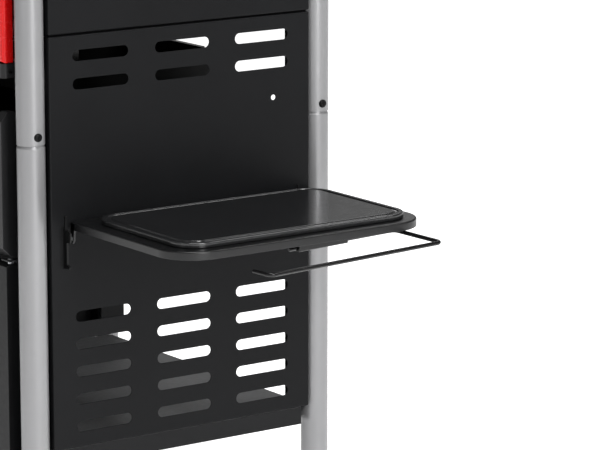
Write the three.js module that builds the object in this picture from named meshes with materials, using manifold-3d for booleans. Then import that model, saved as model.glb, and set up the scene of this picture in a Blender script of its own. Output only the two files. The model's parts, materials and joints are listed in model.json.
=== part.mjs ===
// Gas barbecue grill on a cabinet cart with a fold-down side shelf.
// Units: millimetres.  +X to the user's right, +Y to the back, +Z up.
// The model is laid out around the centre of the four legs and then shifted, so
// the exported frame has its origin at the middle of the footprint, on the floor.
import * as THREE from 'three';
import { mergeVertices } from 'three/addons/utils/BufferGeometryUtils.js';
import Module from 'manifold-3d';

const wasm = await Module();
wasm.setup();

// ---------------------------------------------------------------- dimensions
const LEG_X = 290;            // half the leg spacing, left to right
const LEG_Y = 242.5;          // half the leg spacing, front to back
const LEG_R = 20;             // leg tube, 40 mm outside diameter
const LEG_IN = 18.6;          // leg tube inside radius
const LEG_TOP = 857.5;
const JOINT_Z = 620;          // joint between lower and upper leg tube
const SCREW_Z = 633;
const SEG = 20;               // sides of a leg tube

const PANEL_X = 306;          // outer face of the side panels
const PANEL_HALF = 221.2;     // half width of a side panel
const PANEL_Z0 = 180, PANEL_Z1 = 770;
const BAND_Z0 = 772.6, BAND_Z1 = 857.5;
const SHEET = 1.5;
const FLANGE = 8;
const SLOT_L = 92, SLOT_H = 15.5;
const SLOT_COLS = [-136.7, 0, 136.7];
const SLOT_ROWS = [741, 701, 370, 330, 290, 250, 210];

const FLOOR_Z = 174;          // top of the cabinet floor
const FASCIA_X = 260, FASCIA_Y0 = -267, FASCIA_Y1 = -250.5, FASCIA_Z0 = 732, FASCIA_Z1 = 857.3;
const KNOB_X = [-150, 0, 150], KNOB_Z = 795, KNOB_Y = -272;
const IGNITER_X = 218;
const DRAWER_X = 254, DRAWER_Y = -268.5;
const DOOR_X = 254, DOOR_Y0 = -263.5, DOOR_Y1 = -243, DOOR_Z0 = 152, DOOR_Z1 = 446;
const PIN_X = 246, PIN_Y = -252, PIN_R = 4;

const DECK_Z0 = 858, DECK_Z1 = 866;
const BOX_X = 258, BOX_Y = 203, BOX_T = 2.5;      // fire box outside half sizes
const LID_X = 283, LID_Y = 213, LID_TOP = 1128, LID_T = 2.5;
const HINGE_Y = 228, HINGE_Z = 880;

const WHEEL_R = 70, WHEEL_W = 36, AXLE_R = 6;

const SHELF_X0 = 312, SHELF_X1 = 590, SHELF_Y0 = -193.5, SHELF_Y1 = 229.5;
const SHELF_Z0 = 498, SHELF_Z1 = 510;
const PIVOT_X = 314, PIVOT_Z = 485;
const BOARD = { x0: 333, x1: 573, y0: -173.5, y1: 211.5, z0: 510.3, z1: 518.3, r: 40 };
const RAIL_Z = 491, RAIL_R = 3;
const RAIL_FL = [690, -117.5], RAIL_FR = [655, 195.5];   // outer corners of the rail
const BAR_F = [582.6, -12.5], BAR_R = [560.6, 185], BAR_Z = 493.8;   // its inner bar, under the shelf

// ------------------------------------------------------------------ helpers
function solid(geometry) {
  const g0 = geometry.index ? geometry.toNonIndexed() : geometry.clone();
  for (const k of Object.keys(g0.attributes)) if (k !== 'position') g0.deleteAttribute(k);
  const g = mergeVertices(g0, 1e-4);
  const p = g.attributes.position.array;
  const idx = g.index.array;
  const tri = [];
  let vol = 0;
  for (let i = 0; i < idx.length; i += 3) {
    const a = idx[i], b = idx[i + 1], c = idx[i + 2];
    if (a === b || b === c || a === c) continue;
    tri.push(a, b, c);
    const ax = p[3 * a], ay = p[3 * a + 1], az = p[3 * a + 2];
    const bx = p[3 * b], by = p[3 * b + 1], bz = p[3 * b + 2];
    const cx = p[3 * c], cy = p[3 * c + 1], cz = p[3 * c + 2];
    vol += ax * (by * cz - bz * cy) - ay * (bx * cz - bz * cx) + az * (bx * cy - by * cx);
  }
  if (vol < 0) for (let i = 0; i < tri.length; i += 3) [tri[i], tri[i + 1]] = [tri[i + 1], tri[i]];
  const m = new wasm.Mesh({ numProp: 3, vertProperties: new Float32Array(p), triVerts: new Uint32Array(tri) });
  m.merge();
  return new wasm.Manifold(m);
}
function geometryOf(man) {
  const m = man.getMesh();
  const g = new THREE.BufferGeometry();
  g.setAttribute('position', new THREE.BufferAttribute(new Float32Array(m.vertProperties), 3));
  g.setIndex(new THREE.BufferAttribute(new Uint32Array(m.triVerts), 1));
  g.computeVertexNormals();
  return g;
}
const sum = (...a) => a.reduce((x, y) => x.add(y));
const cut = (a, ...b) => b.reduce((x, y) => x.subtract(y), a);

function boxG(x0, x1, y0, y1, z0, z1) {
  return new THREE.BoxGeometry(x1 - x0, y1 - y0, z1 - z0).translate((x0 + x1) / 2, (y0 + y1) / 2, (z0 + z1) / 2);
}
const box = (...a) => solid(boxG(...a));
function cylG(axis, r, a0, a1, u, v, seg = 16) {
  const g = new THREE.CylinderGeometry(r, r, a1 - a0, seg);
  const c = (a0 + a1) / 2;
  if (axis === 'y') return g.translate(u, c, v);                 // u = x, v = z
  if (axis === 'z') return g.rotateX(Math.PI / 2).translate(u, v, c);   // u = x, v = y
  return g.rotateZ(Math.PI / 2).translate(c, u, v);              // axis x: u = y, v = z
}
const cyl = (...a) => solid(cylG(...a));
// profile points are [radius, height]; turned round the Z axis
function lathe(points, seg = SEG) {
  const g = new THREE.LatheGeometry(points.map(([r, z]) => new THREE.Vector2(r, z)), seg);
  return solid(g.rotateX(Math.PI / 2));
}
function shapeOf(pts, holes = []) {
  const s = new THREE.Shape(pts.map(([x, y]) => new THREE.Vector2(x, y)));
  for (const h of holes) s.holes.push(new THREE.Path(h.map(([x, y]) => new THREE.Vector2(x, y))));
  return s;
}
function extrude(shape, depth) {
  return new THREE.ExtrudeGeometry(shape, { depth, bevelEnabled: false, curveSegments: 8 });
}
// points in (X, Y), along Z
const prismZ = (pts, z0, z1, holes) => solid(extrude(shapeOf(pts, holes), z1 - z0).translate(0, 0, z0));
// points in (Y, Z), along X
function prismX(pts, x0, x1, holes) {
  const g = extrude(shapeOf(pts, holes), x1 - x0);
  g.applyMatrix4(new THREE.Matrix4().set(0, 0, 1, x0, 1, 0, 0, 0, 0, 1, 0, 0, 0, 0, 0, 1));
  return solid(g);
}
// points in (X, Z), along Y
function prismY(pts, y0, y1, holes) {
  const g = extrude(shapeOf(pts, holes), y1 - y0);
  g.applyMatrix4(new THREE.Matrix4().set(1, 0, 0, 0, 0, 0, -1, y1, 0, 1, 0, 0, 0, 0, 0, 1));
  return solid(g);
}
// rounded rectangle outline, one radius for each corner in the order
// (x0,y0) (x1,y0) (x1,y1) (x0,y1)
function roundRect(x0, x1, y0, y1, radii, n = 6) {
  const r = Array.isArray(radii) ? radii : [radii, radii, radii, radii];
  const out = [];
  const corner = (cx, cy, rad, a0) => {
    if (rad <= 0) { out.push([cx, cy]); return; }
    for (let i = 0; i <= n; i++) {
      const a = a0 + (Math.PI / 2) * (i / n);
      out.push([cx + rad * Math.cos(a), cy + rad * Math.sin(a)]);
    }
  };
  corner(x0 + r[0], y0 + r[0], r[0], Math.PI);
  corner(x1 - r[1], y0 + r[1], r[1], 1.5 * Math.PI);
  corner(x1 - r[2], y1 - r[2], r[2], 0);
  corner(x0 + r[3], y1 - r[3], r[3], 0.5 * Math.PI);
  return out;
}
// stacked rectangles [halfX, halfY, z] from bottom to top
function loft(levels) {
  const pos = [], idx = [];
  for (const [hx, hy, z] of levels) pos.push(-hx, -hy, z, hx, -hy, z, hx, hy, z, -hx, hy, z);
  idx.push(0, 2, 1, 0, 3, 2);
  for (let k = 0; k < levels.length - 1; k++) for (let i = 0; i < 4; i++) {
    const a = 4 * k + i, b = 4 * k + ((i + 1) % 4), c = b + 4, d = a + 4;
    idx.push(a, b, c, a, c, d);
  }
  const t = 4 * (levels.length - 1);
  idx.push(t, t + 1, t + 2, t, t + 2, t + 3);
  const g = new THREE.BufferGeometry();
  g.setAttribute('position', new THREE.Float32BufferAttribute(pos, 3));
  g.setIndex(idx);
  return solid(g);
}
function wire(points, radius, bend, sides = 8, turns = 4) {
  // straight runs joined by short arcs of the given bend radius
  const path = new THREE.CurvePath();
  const P = points.map((p) => new THREE.Vector3(...p));
  let from = P[0];
  for (let i = 1; i < P.length - 1; i++) {
    const a = P[i].clone().sub(P[i - 1]).normalize(), b = P[i + 1].clone().sub(P[i]).normalize();
    const p0 = P[i].clone().addScaledVector(a, -bend), p1 = P[i].clone().addScaledVector(b, bend);
    path.add(new THREE.LineCurve3(from, p0));
    const q = new THREE.QuadraticBezierCurve3(p0, P[i], p1);
    for (let k = 0; k < turns; k++) path.add(new THREE.LineCurve3(q.getPoint(k / turns), q.getPoint((k + 1) / turns)));
    from = p1;
  }
  path.add(new THREE.LineCurve3(from, P[P.length - 1]));
  // one ring at every node of the path, mitred, built as a closed sweep
  const nodes = [path.curves[0].v1.clone(), ...path.curves.map((c) => c.v2.clone())];
  return sweep(nodes, radius, sides);
}
function sweep(nodes, radius, sides) {
  const curve = new (class extends THREE.Curve {
    getPoint(t, out = new THREE.Vector3()) {
      const f = t * (nodes.length - 1), i = Math.min(Math.floor(f), nodes.length - 2);
      return out.copy(nodes[i]).lerp(nodes[i + 1], f - i);
    }
    getPointAt(t, out) { return this.getPoint(t, out); }
    getTangent(t, out = new THREE.Vector3()) {
      const f = t * (nodes.length - 1), i = Math.round(f);
      if (Math.abs(f - i) < 1e-6 && i > 0 && i < nodes.length - 1) {
        const a = nodes[i].clone().sub(nodes[i - 1]).normalize(), b = nodes[i + 1].clone().sub(nodes[i]).normalize();
        return out.copy(a.add(b).normalize());
      }
      const j = Math.min(Math.floor(f), nodes.length - 2);
      return out.copy(nodes[j + 1]).sub(nodes[j]).normalize();
    }
    getTangentAt(t, out) { return this.getTangent(t, out); }
  })();
  const s = new THREE.Shape();
  for (let i = 0; i < sides; i++) {
    const a = (2 * Math.PI * (i + 0.5)) / sides;
    const x = radius * Math.cos(a), y = radius * Math.sin(a);
    if (i === 0) s.moveTo(x, y); else s.lineTo(x, y);
  }
  s.closePath();
  return solid(new THREE.ExtrudeGeometry(s, { steps: nodes.length - 1, bevelEnabled: false, extrudePath: curve }));
}

// ---------------------------------------------------------------- materials
const mat = (color, roughness, metalness) => new THREE.MeshStandardMaterial({ color, roughness, metalness });
const M = {
  silver: mat(0xa6a7a9, 0.42, 0.55),
  black: mat(0x232426, 0.48, 0.25),
  band: mat(0x2a2b2d, 0.48, 0.25),
  gloss: mat(0x1c1d1e, 0.22, 0.05),
  red: mat(0xcc1410, 0.25, 0.1),
  enamel: mat(0x161618, 0.3, 0.2),
  cast: mat(0x2b2a29, 0.75, 0.4),
  steel: mat(0xb6b7b9, 0.35, 0.9),
  zinc: mat(0x9c9da0, 0.45, 0.8),
  dark: mat(0x2f3032, 0.5, 0.3),
  floor: mat(0x3a3b3d, 0.5, 0.3),
  rubber: mat(0x151515, 0.85, 0.0),
  screw: mat(0x1b1b1c, 0.4, 0.6),
  knob: mat(0x2a2a2c, 0.4, 0.3),
};
const group = new THREE.Group();
group.name = 'gas_barbecue_grill';
function add(name, man, material, parent = group, place) {
  const mesh = new THREE.Mesh(geometryOf(man), material);
  mesh.name = name;
  if (place) {
    if (place.p) mesh.position.set(...place.p);
    if (place.r) mesh.rotation.set(...place.r);
  }
  parent.add(mesh);
  return mesh;
}
const sub = () => { const g = new THREE.Group(); group.add(g); return g; };

// --------------------------------------------------------------------- legs
const frame = sub();
function lowerLeg(z0, axle) {
  let m = lathe([[20, z0], [20, JOINT_Z - 1.6], [18.3, JOINT_Z + 0.2], [18.3, JOINT_Z + 50],
    [16.8, JOINT_Z + 50], [16.8, JOINT_Z - 3], [LEG_IN, JOINT_Z - 6], [LEG_IN, z0], [20, z0]]);
  m = cut(m, cyl('x', 3.3, 5, 30, 0, SCREW_Z, 8));
  if (axle) m = cut(m, cyl('y', AXLE_R + 0.5, -40, 40, 0, WHEEL_R, 10));
  return m;
}
const upperLeg = cut(lathe([[20, JOINT_Z + 0.9], [20, LEG_TOP], [LEG_IN, LEG_TOP], [LEG_IN, JOINT_Z + 0.9], [20, JOINT_Z + 0.9]]),
  cyl('x', 3.3, 5, 30, 0, SCREW_Z, 8));
const legR = lowerLeg(12.3, false), legL = lowerLeg(46, true);
// pan-head screw with a driver recess, along +X from its own seat plane
const screw = (() => {
  let m = lathe([[0, -11], [2.6, -11], [2.6, 0.2], [6, 0.2], [6, 1.8], [4.2, 3.8], [0, 4.3], [0, -11]], 10);
  m = cut(m, box(-0.7, 0.7, -3.2, 3.2, 2.4, 6));
  return m;
})();
for (const [side, sx] of [['right', 1], ['left', -1]]) for (const [end, sy] of [['front', -1], ['rear', 1]]) {
  const turn = [0, 0, sx > 0 ? 0 : Math.PI];
  const at = [sx * LEG_X, sy * LEG_Y, 0];
  add(`leg_lower_${end}_${side}`, sx > 0 ? legR : legL, M.silver, frame, { p: at, r: turn });
  add(`leg_upper_${end}_${side}`, upperLeg, M.silver, frame, { p: at, r: turn });
  add(`leg_screw_${end}_${side}`, screw, M.screw, frame, { p: [sx * (LEG_X + LEG_R), sy * LEG_Y, SCREW_Z], r: [0, sx * Math.PI / 2, 0] });
}
const foot = lathe([[0, 0], [21, 0], [22, 2], [22, 11], [20.5, 12], [17.5, 12], [17.5, 38], [0, 38], [0, 0]], 16);
add('foot_front_right', foot, M.rubber, frame, { p: [LEG_X, -LEG_Y, 0] });
add('foot_rear_right', foot, M.rubber, frame, { p: [LEG_X, LEG_Y, 0] });

// -------------------------------------------------------------- side panels
function slotPts(cy, cz, len, h, n = 3) {
  const r = h / 2, out = [];
  for (let i = 0; i <= n; i++) { const a = -Math.PI / 2 + Math.PI * i / n; out.push([cy + len / 2 - r + r * Math.cos(a), cz + r * Math.sin(a)]); }
  for (let i = 0; i <= n; i++) { const a = Math.PI / 2 + Math.PI * i / n; out.push([cy - len / 2 + r + r * Math.cos(a), cz + r * Math.sin(a)]); }
  return out;
}
function circlePts(cy, cz, r, n) {
  return Array.from({ length: n }, (_, i) => [cy + r * Math.cos(2 * Math.PI * i / n), cz + r * Math.sin(2 * Math.PI * i / n)]);
}
function pan(z0, z1) {     // folded sheet, outer face on +X
  return sum(cut(box(PANEL_X - FLANGE, PANEL_X, -PANEL_HALF, PANEL_HALF, z0, z1),
    box(PANEL_X - 20, PANEL_X - SHEET, -PANEL_HALF + SHEET, PANEL_HALF - SHEET, z0 + SHEET, z1 - SHEET)),
  // strips past the legs, which close the gap between leg and panel
  box(PANEL_X - 32, PANEL_X - 1, -PANEL_HALF + 1.25, -PANEL_HALF + 2.75, z0, z1), box(PANEL_X - 32, PANEL_X - 1, PANEL_HALF - 2.75, PANEL_HALF - 1.25, z0, z1));
}
function sidePanel(hingeSlots) {
  const cutters = [];
  for (const z of SLOT_ROWS) for (const y of SLOT_COLS) cutters.push(prismX(slotPts(y, z, SLOT_L, SLOT_H), PANEL_X - 4, PANEL_X + 2));
  cutters.push(prismX(circlePts(157.5, 650, 4, 8), PANEL_X - 4, PANEL_X + 2));
  if (hingeSlots) for (const y of [-201.2, 201.2]) cutters.push(box(PANEL_X - 4, PANEL_X + 2, y - 4.7, y + 4.7, 442, 503.5));
  return cut(pan(PANEL_Z0, PANEL_Z1), ...cutters);
}
const sides = sub();
add('side_panel_right', sidePanel(true), M.black, sides);
add('side_panel_left', sidePanel(false), M.black, sides, { r: [0, 0, Math.PI] });
add('upper_band_right', pan(BAND_Z0, BAND_Z1), M.band, sides);
add('upper_band_left', pan(BAND_Z0, BAND_Z1), M.band, sides, { r: [0, 0, Math.PI] });

// ------------------------------------------------------------ cabinet floor
{
  const plus = (gx, gy) => [[-304 + gx, -208.5 + gy], [-266 + gx, -208.5 + gy], [-266 + gx, -238 + gy], [266 - gx, -238 + gy], [266 - gx, -208.5 + gy], [304 - gx, -208.5 + gy],
    [304 - gx, 208.5 - gy], [266 - gx, 208.5 - gy], [266 - gx, 238 - gy], [-266 + gx, 238 - gy], [-266 + gx, 208.5 - gy], [-304 + gx, 208.5 - gy]];
  let m = cut(prismZ(plus(0, 0), 153, FLOOR_Z), prismZ(plus(SHEET, SHEET), 150, FLOOR_Z - SHEET));
  const parts = [];
  for (const s of [-1, 1]) {
    const a = Math.min(s * 302.5, s * 304), b = Math.max(s * 302.5, s * 304);
    parts.push(box(a, b, -208.5, 208.5, 170, 179.6));               // upstand behind the side panel
    const t0 = Math.min(s * 236, s * 256), t1 = Math.max(s * 236, s * 256);
    parts.push(box(t0, t1, -261, -236.6, 147.6, 149.6));            // hinge tab
    parts.push(box(t0, t1, -238, -236.6, 147.6, 160));
  }
  m = sum(m, ...parts);
  for (const s of [-1, 1]) m = cut(m, cyl('z', PIN_R + 0.5, 140, 155, s * PIN_X, PIN_Y, 10));
  add('bottom_shelf', m, M.floor, frame);
}

// --------------------------------------------------------------- front rails
{
  let m = cut(prismZ(roundRect(-FASCIA_X, FASCIA_X, FASCIA_Y0, -232, [7, 7, 0, 0], 4), 711, 731.2),
    prismZ(roundRect(-FASCIA_X + SHEET, FASCIA_X - SHEET, FASCIA_Y0 + SHEET, -225, [5.5, 5.5, 0, 0], 4), 712.5, 729.7));
  for (const s of [-1, 1]) {
    m = sum(m, box(Math.min(s * 259, s * 269.4), Math.max(s * 259, s * 269.4), -238, -236.5, 713, 729));
    m = cut(m, cyl('x', 3, Math.min(s * 256, s * 262), Math.max(s * 256, s * 262), -254, 720, 12));
  }
  add('front_crossbar', m, M.dark, frame);
}
{
  let m = cut(box(-269.4, 269.4, -240.5, -224, 449.6, 476.5), box(-272, 272, -239, -220, 451.1, 475));
  for (const s of [-1, 1]) {
    const a = Math.min(s * 236, s * 256), b = Math.max(s * 236, s * 256);
    m = sum(m, box(a, b, -261, -238.6, 449.6, 451.4));
    m = cut(m, cyl('z', PIN_R + 0.5, 440, 460, s * PIN_X, PIN_Y, 10));
  }
  add('middle_crossbar', m, M.dark, frame);
}

// ---------------------------------------------------------------- fire box
const cook = sub();
{
  const deck = prismZ(roundRect(-311, 311, -263.5, 263.5, 21, 5), DECK_Z0, DECK_Z1);
  const tub = loft([[150, 80, 738], [BOX_X, BOX_Y, 765], [BOX_X, BOX_Y, DECK_Z1 - 1]]);
  let m = cut(sum(deck, tub), loft([[149, 79, 740.6], [BOX_X - BOX_T, BOX_Y - BOX_T, 767.4], [BOX_X - BOX_T, BOX_Y - BOX_T, 900]]));
  m = cut(m, cyl('z', 30, 730, 760, 0, 0, 14));
  for (const s of [-1, 1]) {
    const y0 = Math.min(s * 189, s * 201), y1 = Math.max(s * 189, s * 201);
    m = sum(m, box(-240, 240, y0, y1, 811, 813), box(-252, 252, y0, y1, 846.5, 849));
  }
  for (const x of KNOB_X) m = cut(m, cyl('y', 13.4, -210, -190, x, KNOB_Z, 12));
  // straps and rails that carry the grease tray
  for (const s of [-1, 1]) {
    const sx = (a, b) => [Math.min(s * a, s * b), Math.max(s * a, s * b)];
    const [a, b] = sx(158.5, 160.5), [c, d] = sx(147.6, 160.5);
    m = sum(m, box(a, b, -100, -82, 682, 743.2), box(a, b, 165, 175, 682, 759.4), box(a, b, -100, 186, 682, 694), box(c, d, -100, 186, 686, 688));
  }
  // hinge ears on the deck
  for (const s of [-1, 1]) {
    const [a, b] = [Math.min(s * 214, s * 217), Math.max(s * 214, s * 217)];
    m = sum(m, prismX([[216, DECK_Z1 - 2], [240, DECK_Z1 - 2], [238, 882], [233, 888], [223, 888], [218, 882]], a, b));
    m = cut(m, cyl('x', 4.6, a - 2, b + 2, HINGE_Y, HINGE_Z, 10));
  }
  add('firebox', m, M.enamel, cook);
}
{
  const burner = lathe([[10.8, 0], [12, 0], [12, 384], [10, 386], [0, 386], [0, 384.6], [10.8, 384.6], [10.8, 0]], 12);
  const vee = prismY([[-48, 0], [0, 28], [48, 0], [46.6, -1.4], [0, 25.8], [-46.6, -1.4]], -196, 196);
  const names = ['left', 'centre', 'right'];
  KNOB_X.forEach((x, i) => {
    add(`burner_${names[i]}`, burner, M.steel, cook, { p: [x, -211.5, KNOB_Z], r: [-Math.PI / 2, 0, 0] });
    add(`flame_tamer_${names[i]}`, vee, M.steel, cook, { p: [x, 0, 814.8] });
  });
}
function grate() {
  let m = box(1, 252, -198, 198, 849.4, 859.4);
  for (let i = 0; i < 10; i++) for (const [y0, y1] of [[-186, -8], [8, 186]]) {
    const x0 = 10.5 + i * 24;
    m = m.subtract(box(x0, x0 + 16, y0, y1, 840, 870));
  }
  return m;
}
add('cooking_grate_right', grate(), M.cast, cook);
add('cooking_grate_left', grate(), M.cast, cook, { r: [0, 0, Math.PI] });

// gas manifold with three valves and a hose inlet
{
  let m = cyl('x', 8, -176, 240, -226, 777, 10);
  for (const x of KNOB_X) m = sum(m, box(x - 12, x + 12, -240, -212, 768, 807));
  m = sum(m, box(225, 245, -236, -216, 767, 787), cyl('z', 6, 744, 770, 235, -226, 12));
  for (const x of KNOB_X) m = cut(m, cyl('y', 4.6, -242, -227, x, KNOB_Z, 10));
  add('gas_manifold', m, M.zinc, cook);
}
// grease tray, drawn out to the back
{
  let m = sum(box(-145, 145, -100, 190, 647, 692), box(-157, 157, -100, 190, 690.4, 692));
  m = cut(m, box(-143.8, 143.8, -98.8, 188.8, 648.2, 702));
  m = sum(m, box(-60, 60, 188.9, 204, 688.8, 690.2), box(-60, 60, 202.8, 204, 676, 690));
  add('grease_tray', m, M.dark, cook);
}

// ------------------------------------------------------------ control fascia
{
  const outer = roundRect(-FASCIA_X, FASCIA_X, FASCIA_Y0, FASCIA_Y1, [7, 7, 0, 0], 4);
  const inner = roundRect(-FASCIA_X + SHEET, FASCIA_X - SHEET, FASCIA_Y0 + SHEET, FASCIA_Y1 + 5, [5.5, 5.5, 0, 0], 4);
  let m = cut(prismZ(outer, FASCIA_Z0, FASCIA_Z1), prismZ(inner, FASCIA_Z0 + SHEET, FASCIA_Z1 - SHEET));
  for (const x of KNOB_X) m = cut(m, cyl('y', 6, -275, -255, x, KNOB_Z, 12));
  m = cut(m, cyl('y', 5, -275, -255, IGNITER_X, KNOB_Z, 14));
  add('control_fascia', m, M.red, cook);
}
{
  const stem = lathe([[0, 0], [4, 0], [4, 62], [0, 62], [0, 0]], 10);
  let knob = lathe([[4.6, 0], [26, 0], [26, 5], [20.5, 8], [18.5, 29.5], [0, 29.5], [0, 24], [4.6, 24], [4.6, 0]], 18);
  knob = sum(knob, box(-4.5, 4.5, -19.5, 19.5, 26, 33));
  ['left', 'centre', 'right'].forEach((n, i) => {
    const g = new THREE.Group();
    g.position.set(KNOB_X[i], 0, KNOB_Z);
    cook.add(g);
    add(`valve_stem_${n}`, stem, M.zinc, g, { p: [0, -228.5, 0], r: [Math.PI / 2, 0, 0] });
    add(`knob_${n}`, knob, M.knob, g, { p: [0, KNOB_Y, 0], r: [Math.PI / 2, 0, 0] });
  });
  const button = lathe([[0, -28], [4, -28], [4, 0], [9, 0], [9, 6], [7.5, 8], [0, 8.6], [0, -28]], 14);
  add('igniter_button', button, M.knob, cook, { p: [IGNITER_X, -273, KNOB_Z], r: [Math.PI / 2, 0, 0] });
}

// ---------------------------------------------------------------------- lid
const lidGroup = sub();
function lidProfile(inset) {
  const y = LID_Y - inset, top = LID_TOP - inset, out = [];
  out.push([-y, DECK_Z1 + 0.5 - (inset ? 30 : 0)], [-y, 985]);
  const arc = (cy, cz, ry, rz, a0, a1, n) => { for (let i = 1; i < n; i++) { const a = a0 + (a1 - a0) * i / n; out.push([cy + ry * Math.cos(a), cz + rz * Math.sin(a)]); } };
  arc(-y + 125, 985, 125, top - 985, Math.PI, Math.PI / 2, 8);
  out.push([-y + 125, top], [y - 90, top]);
  arc(y - 90, 1020, 90, top - 1020, Math.PI / 2, 0, 6);
  out.push([y, 1020], [y, DECK_Z1 + 0.5 - (inset ? 30 : 0)]);
  return out;
}
{
  let m = cut(prismX(lidProfile(0).reverse(), -LID_X, LID_X), prismX(lidProfile(LID_T).reverse(), -LID_X + LID_T, LID_X - LID_T));
  for (const s of [-1, 1]) {
    const [a, b] = [Math.min(s * 209, s * 212.6), Math.max(s * 209, s * 212.6)];
    m = sum(m, prismX([[211.5, 871], [234, 871], [235, 884], [230, 889], [220, 892], [211.5, 905]], a, b));
    m = cut(m, cyl('x', 4.6, a - 2, b + 2, HINGE_Y, HINGE_Z, 10));
  }
  add('lid', m, M.enamel, lidGroup);
}
{
  const y = -LID_Y - 44, z = 905;
  let m = cyl('x', 10, -200, 200, y, z, 14);
  for (const s of [-1, 1]) {
    const [a, b] = [Math.min(s * 164, s * 180), Math.max(s * 164, s * 180)];
    m = sum(m, box(a, b, y, -LID_Y - 0.4, z - 8, z + 8));
  }
  add('lid_handle', m, M.steel, lidGroup);
}
add('thermometer', lathe([[0, 0], [34, 0], [34, 9], [31, 11], [29, 9], [0, 9], [0, 0]], 20), M.steel, lidGroup,
  { p: [0, -LID_Y - 0.4, 985 - 30], r: [Math.PI / 2, 0, 0] });
add('lid_hinge_rod', cyl('x', 4, -224, 224, HINGE_Y, HINGE_Z, 10), M.zinc, lidGroup);

// ------------------------------------------------------------------- drawer
const cabinet = sub();
{
  const y = DRAWER_Y, t = SHEET;
  const face = prismX([[y, 470], [y + 16, 454], [-246, 454], [-246, 662.4], [y + 11, 662.4], [y, 649]], -DRAWER_X, DRAWER_X);
  const inside = prismX([[y + t, 470.6], [y + 16.6, 455.5], [-240, 455.5], [-240, 660.9], [y + 11.7, 660.9], [y + t, 648.4]], -DRAWER_X + t, DRAWER_X - t);
  let m = sum(cut(face, inside), box(-238, 238, -250, 130, 480, 640), box(-238, 238, y + 0.4, -240, 480, 640));
  m = cut(m, box(-236.4, 236.4, -264.6, 128.4, 481.6, 700));
  m = cut(m, box(-300, 300, -400, y - 0.001, 400, 700));
  add('drawer', m, M.black, cabinet);
}
for (const [n, s] of [['right', 1], ['left', -1]]) {
  const [a, b] = [Math.min(s * 222, s * 269.4), Math.max(s * 222, s * 269.4)];
  const [c, d] = [Math.min(s * 267.8, s * 269.4), Math.max(s * 267.8, s * 269.4)];
  add(`drawer_runner_${n}`, sum(box(a, b, -222, 238, 477.9, 479.6), box(c, d, -240, 240, 477.9, 530)), M.zinc, cabinet);
}

// -------------------------------------------------------------------- doors
for (const [n, s] of [['right', 1], ['left', -1]]) {
  const g = new THREE.Group();
  g.position.set(s * PIN_X, PIN_Y, 0);
  cabinet.add(g);
  // door laid out from the hinge axis, outer edge at +8
  const xo = DOOR_X - PIN_X, xi = 1.5 - PIN_X, y0 = DOOR_Y0 - PIN_Y, y1 = DOOR_Y1 - PIN_Y;
  const X = (a, b) => (s > 0 ? [a, b] : [-b, -a]);
  const [ox0, ox1] = X(xi, xo), [ix0, ix1] = X(xi + SHEET, xo - SHEET);
  const prof = [[y0, DOOR_Z0], [y1, DOOR_Z0], [y1, DOOR_Z1 - 0.4], [y0 + 7, DOOR_Z1 - 0.4], [y0, DOOR_Z1 - 3.4]];
  const innr = [[y0 + SHEET, DOOR_Z0 + SHEET], [y1 + 5, DOOR_Z0 + SHEET], [y1 + 5, DOOR_Z1 - 1.9], [y0 + 7.3, DOOR_Z1 - 1.9], [y0 + SHEET, DOOR_Z1 - 4.6]];
  let m = cut(prismX(prof, ox0, ox1), prismX(innr, ix0, ix1));
  m = cut(m, cyl('z', PIN_R + 0.5, DOOR_Z0 - 5, DOOR_Z1 + 5, 0, 0, 10));
  add(`door_${n}`, m, M.black, g);
  add(`door_pin_${n}`, cyl('z', PIN_R, 144, 453, 0, 0, 10), M.zinc, g);
}

// ------------------------------------------------------------ wheels, axle
{
  const ax = sub();
  ax.position.set(-LEG_X, 0, WHEEL_R);
  let m = sum(cyl('y', AXLE_R, -306, 306, 0, 0, 12), cyl('y', 10, -308.5, -303, 0, 0, 12), cyl('y', 10, 303, 308.5, 0, 0, 12));
  add('axle', m, M.zinc, ax);
  const h = WHEEL_W / 2;
  const wheel = lathe([[6.5, -h], [17, -h], [17, -h + 10], [45, -h + 10], [45, -h + 2], [63, -h], [70, -h + 7], [70, h - 7], [63, h], [45, h - 2], [45, h - 10], [17, h - 10], [17, h], [6.5, h], [6.5, -h]], 22);
  add('wheel_front', wheel, M.rubber, ax, { p: [0, -284.5, 0], r: [Math.PI / 2, 0, 0] });
  add('wheel_rear', wheel, M.rubber, ax, { p: [0, 284.5, 0], r: [Math.PI / 2, 0, 0] });
}

// --------------------------------------------------------------- side shelf
const shelfG = sub();
{
  const R = [2, 55, 55, 2];
  const outline = (g) => roundRect(SHELF_X0 + g, SHELF_X1 - g, SHELF_Y0 + g, SHELF_Y1 - g, R.map((r) => Math.max(r - g, 1)), 5);
  let m = cut(prismZ(outline(0), SHELF_Z0, SHELF_Z1), prismZ(outline(2), SHELF_Z0 - 5, SHELF_Z1 - 2));
  // ears for the pivot pins, hanging below the inner corners
  for (const [y0, y1] of [[SHELF_Y0, SHELF_Y0 + 3], [193.5, 196.5]]) {
    m = sum(m, prismY([[SHELF_X0, 509], [SHELF_X0 + 10, 509], [SHELF_X0 + 9, 484], [PIVOT_X + 3, 478.2], [PIVOT_X - 3, 478.2], [PIVOT_X - 7, 482.4], [PIVOT_X - 7, 487.6], [SHELF_X0, 494]], y0, y1));
    m = cut(m, cyl('y', 3.6, y0 - 3, y1 + 3, PIVOT_X, PIVOT_Z, 10));
  }
  add('side_shelf', m, M.dark, shelfG);
}
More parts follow.
